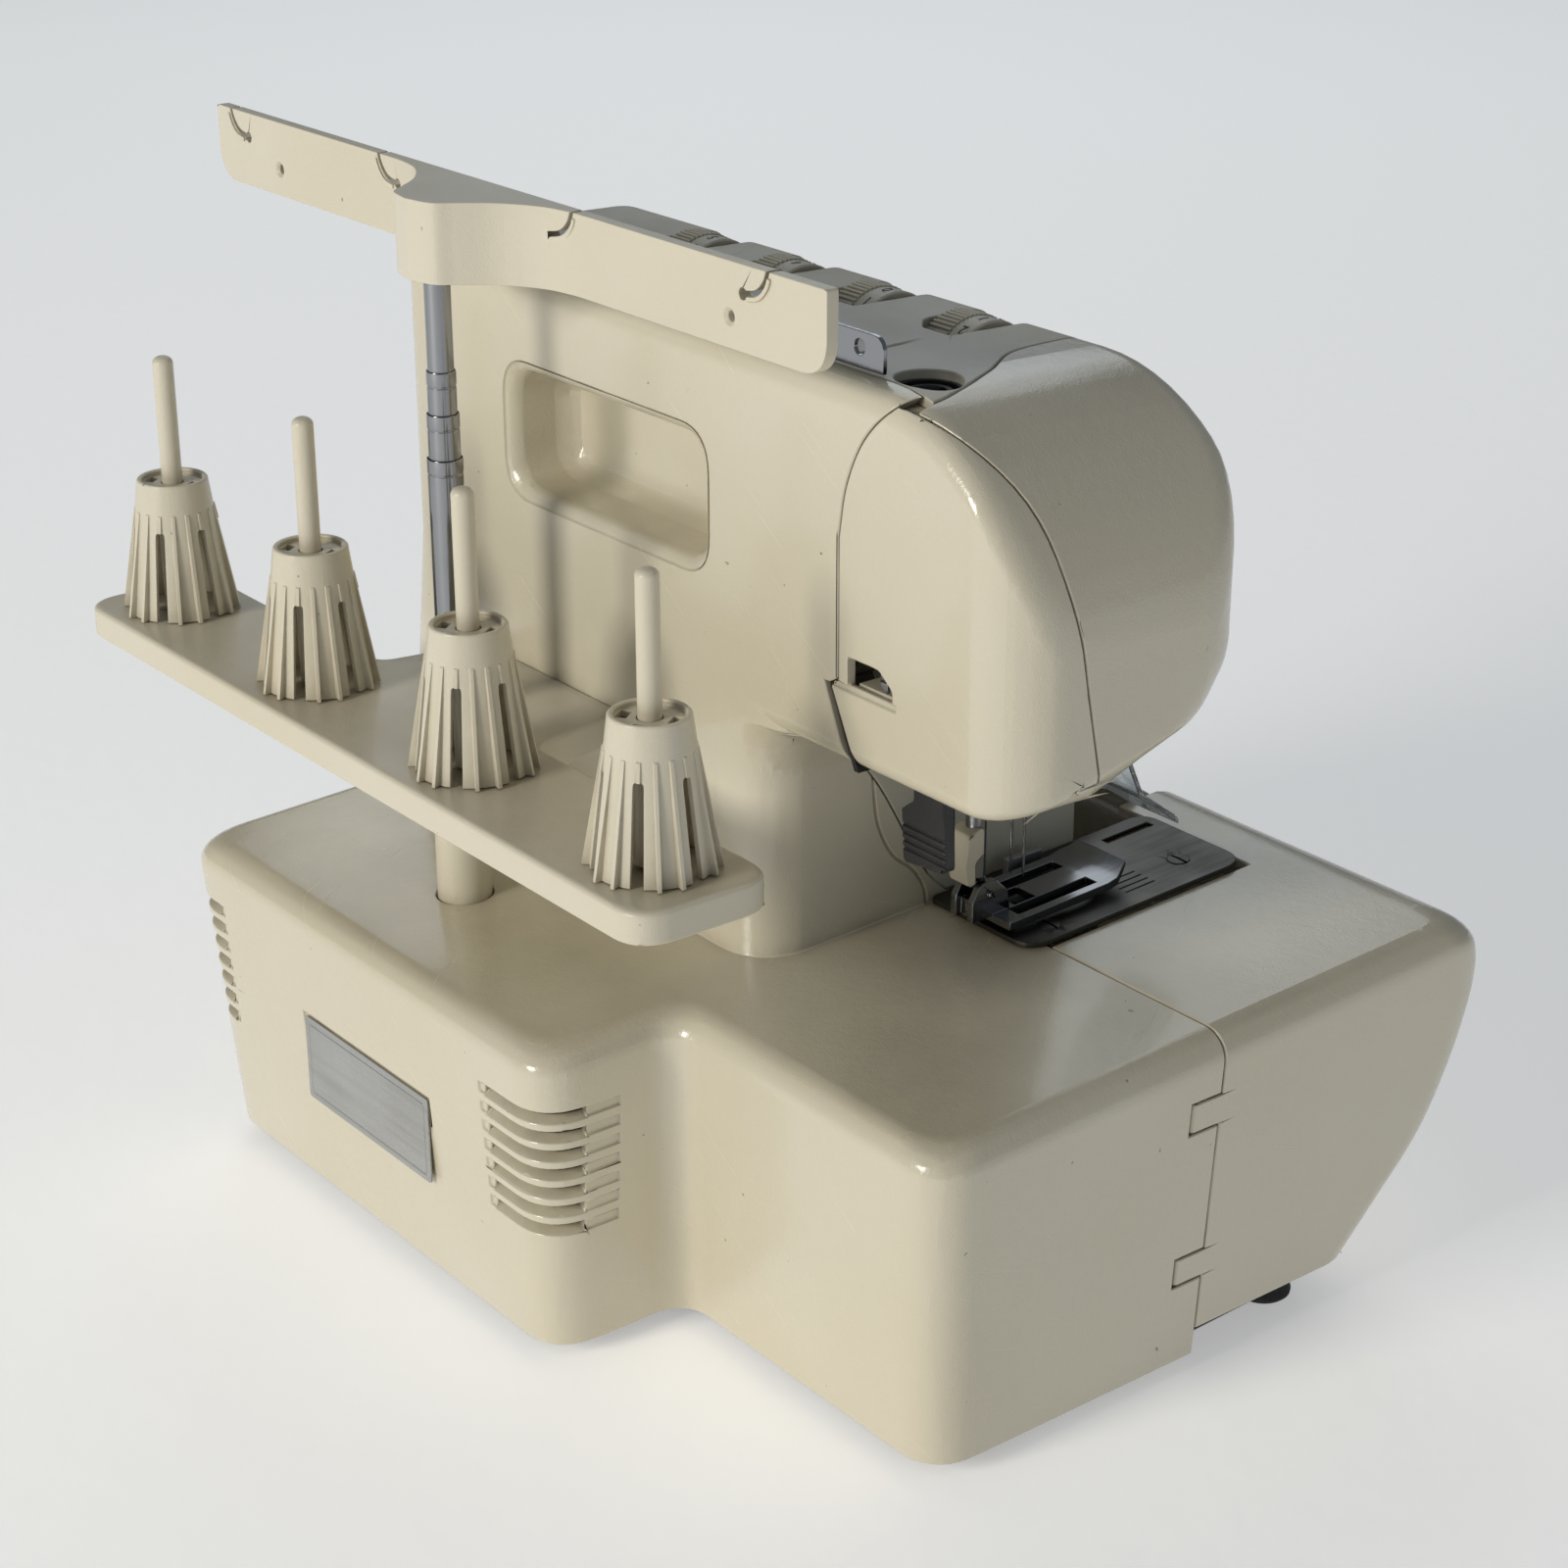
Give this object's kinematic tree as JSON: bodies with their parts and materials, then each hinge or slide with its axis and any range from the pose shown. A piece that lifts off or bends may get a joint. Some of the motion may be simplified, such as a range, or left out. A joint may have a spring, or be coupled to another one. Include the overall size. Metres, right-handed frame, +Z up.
{
  "type": "overlock sewing machine",
  "caption": "Overlock sewing machine with ivory covers, swinging side cover, lay-in tension dials, handwheel, and a rear spool stand with cone holders and a telescopic thread guide.",
  "frame": {"origin": "middle of the bounding box, on the table plane under the rubber feet", "axes": "+X along the arm from the needle end to the handwheel end, +Y to the back where the spool stand is, +Z up"},
  "size_m": [0.3832, 0.2712, 0.3296],
  "materials": {
    "ivory_cover": "gloss ivory moulding",
    "ivory_panel": "fine satin ivory moulding",
    "ivory_stand": "satin ivory moulding",
    "black_plastic": "satin black",
    "rubber": "matte black",
    "chrome": "polished",
    "steel": "ground steel",
    "dark_steel": "dark satin plate",
    "cast_alloy": "as cast",
    "painted_steel": "matte black tray",
    "clear_plastic": "clear smoked plastic",
    "label": "brushed blank foil"
  },
  "bodies": {
    "casing": {"rear_housing": "ivory_cover", "front_panel": "ivory_panel", "head_rear_cover": "ivory_cover", "face_cover": "ivory_cover", "lower_front_cover": "ivory_cover", "needle_plate": "dark_steel", "lower_knife": "steel", "finger_guard": "clear_plastic", "thread_cutter": "black_plastic", "base_plate": "painted_steel", "machine_frame": "cast_alloy", "motor": "dark_steel", "drive_belt": "rubber", "inlet_socket": "black_plastic", "label_plate": "label", "stand_plate": "ivory_stand", "stand_post": "ivory_stand", "pole_section_1": "chrome", "tension_shaft": "steel", "thread_guide_plate": "chrome", "rubber_foot_1": "rubber", "rubber_foot_2": "rubber", "rubber_foot_3": "rubber", "rubber_foot_4": "rubber", "spool_pin_1": "ivory_stand", "spool_pin_2": "ivory_stand", "spool_pin_3": "ivory_stand", "spool_pin_4": "ivory_stand"},
    "side_cover": {"side_cover": "ivory_cover"},
    "looper_cover_rod": {"looper_cover_rod": "steel"},
    "looper_cover": {"looper_cover": "ivory_cover"},
    "handwheel_shaft": {"handwheel": "ivory_stand", "main_shaft": "steel", "driven_pulley": "black_plastic"},
    "motor_pulley": {"motor_pulley": "steel"},
    "needle_bar": {"needle_bar": "chrome", "needle_clamp": "steel"},
    "presser_lifter": {"presser_lifter": "black_plastic"},
    "presser_bar": {"presser_bar": "chrome"},
    "presser_foot": {"presser_foot": "dark_steel"},
    "feed_dog": {"feed_dog": "steel"},
    "lower_looper": {"lower_looper": "steel"},
    "upper_looper": {"upper_looper": "steel"},
    "upper_knife": {"upper_knife": "steel"},
    "stitch_length_dial": {"stitch_length_dial": "ivory_stand"},
    "differential_feed_dial": {"differential_feed_dial": "ivory_stand"},
    "power_switch": {"power_switch": "black_plastic"},
    "pressure_regulator": {"pressure_regulator": "black_plastic"},
    "pole_2": {"pole_section_2": "chrome"},
    "pole_3": {"pole_section_3": "chrome"},
    "pole_4": {"pole_section_4": "chrome"},
    "thread_guide": {"thread_guide": "ivory_stand"},
    "tension_dial_1": {"tension_dial_1": "ivory_panel"},
    "tension_dial_2": {"tension_dial_2": "ivory_panel"},
    "tension_dial_3": {"tension_dial_3": "ivory_panel"},
    "tension_dial_4": {"tension_dial_4": "ivory_panel"},
    "cone_holder_1": {"cone_holder_1": "ivory_stand"},
    "cone_holder_2": {"cone_holder_2": "ivory_stand"},
    "cone_holder_3": {"cone_holder_3": "ivory_stand"},
    "cone_holder_4": {"cone_holder_4": "ivory_stand"}
  },
  "joints": [
    {"name": "side_cover_hinge", "type": "hinge", "parent": "casing", "child": "side_cover", "pos_m": [-0.19013, -0.01171, 0.1146], "axis": [0.0636, 0, -0.998], "range_deg": [0, 95]},
    {"name": "looper_cover_slide", "type": "slide", "parent": "casing", "child": "looper_cover_rod", "axis": [1, 0, 0], "range_m": [0, 0.004]},
    {"name": "looper_cover_hinge", "type": "hinge", "parent": "looper_cover_rod", "child": "looper_cover", "pos_m": [0.00737, -0.10871, 0.027], "axis": [1, 0, 0], "range_deg": [0, 80]},
    {"name": "handwheel_turn", "type": "hinge", "parent": "casing", "child": "handwheel_shaft", "pos_m": [0.11737, 0.01029, 0.07], "axis": [1, 0, 0], "continuous": true},
    {"name": "motor_turn", "type": "hinge", "parent": "casing", "child": "motor_pulley", "pos_m": [0.11737, 0.09829, 0.056], "axis": [1, 0, 0], "continuous": true},
    {"name": "needle_bar_slide", "type": "slide", "parent": "casing", "child": "needle_bar", "axis": [0, 0, -1], "range_m": [0, 0.026]},
    {"name": "presser_lifter_hinge", "type": "hinge", "parent": "casing", "child": "presser_lifter", "pos_m": [-0.12663, 0.03429, 0.198], "axis": [1, 0, 0], "range_deg": [0, 42.1]},
    {"name": "presser_bar_slide", "type": "slide", "parent": "casing", "child": "presser_bar", "axis": [0, 0, 1], "range_m": [0, 0.00498]},
    {"name": "presser_foot_tilt", "type": "hinge", "parent": "presser_bar", "child": "presser_foot", "pos_m": [-0.09463, -0.01171, 0.124], "axis": [-1, 0, 0], "range_deg": [0, 4]},
    {"name": "feed_dog_slide", "type": "slide", "parent": "casing", "child": "feed_dog", "axis": [0, 1, 0], "range_m": [0, 0.003]},
    {"name": "lower_looper_swing", "type": "hinge", "parent": "casing", "child": "lower_looper", "pos_m": [-0.12863, -0.02201, 0.058], "axis": [0, 1, 0], "range_deg": [0, 15]},
    {"name": "upper_looper_swing", "type": "hinge", "parent": "casing", "child": "upper_looper", "pos_m": [-0.08263, -0.03441, 0.056], "axis": [0, 1, 0], "range_deg": [0, 12]},
    {"name": "upper_knife_slide", "type": "slide", "parent": "casing", "child": "upper_knife", "axis": [0, 0, -1], "range_m": [0, 0.01]},
    {"name": "tension_dial_1_turn", "type": "hinge", "parent": "casing", "child": "tension_dial_1", "pos_m": [-0.07663, -0.02071, 0.283], "axis": [1, 0, 0], "range_deg": [0, 300]},
    {"name": "tension_dial_2_turn", "type": "hinge", "parent": "casing", "child": "tension_dial_2", "pos_m": [-0.03393, -0.02071, 0.283], "axis": [1, 0, 0], "range_deg": [0, 300]},
    {"name": "tension_dial_3_turn", "type": "hinge", "parent": "casing", "child": "tension_dial_3", "pos_m": [0.00877, -0.02071, 0.283], "axis": [1, 0, 0], "range_deg": [0, 300]},
    {"name": "tension_dial_4_turn", "type": "hinge", "parent": "casing", "child": "tension_dial_4", "pos_m": [0.05147, -0.02071, 0.283], "axis": [1, 0, 0], "range_deg": [0, 300]},
    {"name": "pole_2_slide", "type": "slide", "parent": "casing", "child": "pole_2", "axis": [0, 0, 1], "range_m": [0, 0.06]},
    {"name": "pole_3_slide", "type": "slide", "parent": "pole_2", "child": "pole_3", "axis": [0, 0, 1], "range_m": [0, 0.06]},
    {"name": "pole_4_slide", "type": "slide", "parent": "pole_3", "child": "pole_4", "axis": [0, 0, 1], "range_m": [0, 0.06]},
    {"name": "thread_guide_swivel", "type": "hinge", "parent": "pole_4", "child": "thread_guide", "pos_m": [0.03257, 0.08969, 0.315], "axis": [0, 0, -1], "range_deg": [-5, 30]},
    {"name": "cone_holder_1_lift", "type": "slide", "parent": "casing", "child": "cone_holder_1", "axis": [0, 0, 1], "range_m": [0, 0.088]},
    {"name": "cone_holder_2_lift", "type": "slide", "parent": "casing", "child": "cone_holder_2", "axis": [0, 0, 1], "range_m": [0, 0.088]},
    {"name": "cone_holder_3_lift", "type": "slide", "parent": "casing", "child": "cone_holder_3", "axis": [0, 0, 1], "range_m": [0, 0.088]},
    {"name": "cone_holder_4_lift", "type": "slide", "parent": "casing", "child": "cone_holder_4", "axis": [0, 0, 1], "range_m": [0, 0.088]},
    {"name": "stitch_length_turn", "type": "hinge", "parent": "casing", "child": "stitch_length_dial", "pos_m": [0.13537, -0.07371, 0.084], "axis": [1, 0, 0], "range_deg": [0, 270]},
    {"name": "differential_feed_turn", "type": "hinge", "parent": "casing", "child": "differential_feed_dial", "pos_m": [0.13537, -0.08771, 0.05], "axis": [1, 0, 0], "range_deg": [0, 180]},
    {"name": "power_switch_rock", "type": "hinge", "parent": "casing", "child": "power_switch", "pos_m": [0.12537, 0.06629, 0.064], "axis": [0, 1, 0], "range_deg": [0, 10]},
    {"name": "pressure_regulator_turn", "type": "hinge", "parent": "casing", "child": "pressure_regulator", "pos_m": [-0.11913, 0.03179, 0.29], "axis": [0, 0, 1], "range_deg": [-360, 360]}
  ],
  "couplings": [
    {"joint": "motor_turn", "follows": "handwheel_turn", "ratio": 3},
    {"joint": "presser_lifter_hinge", "follows": "presser_bar_slide", "rad_per_m": 147}
  ]
}
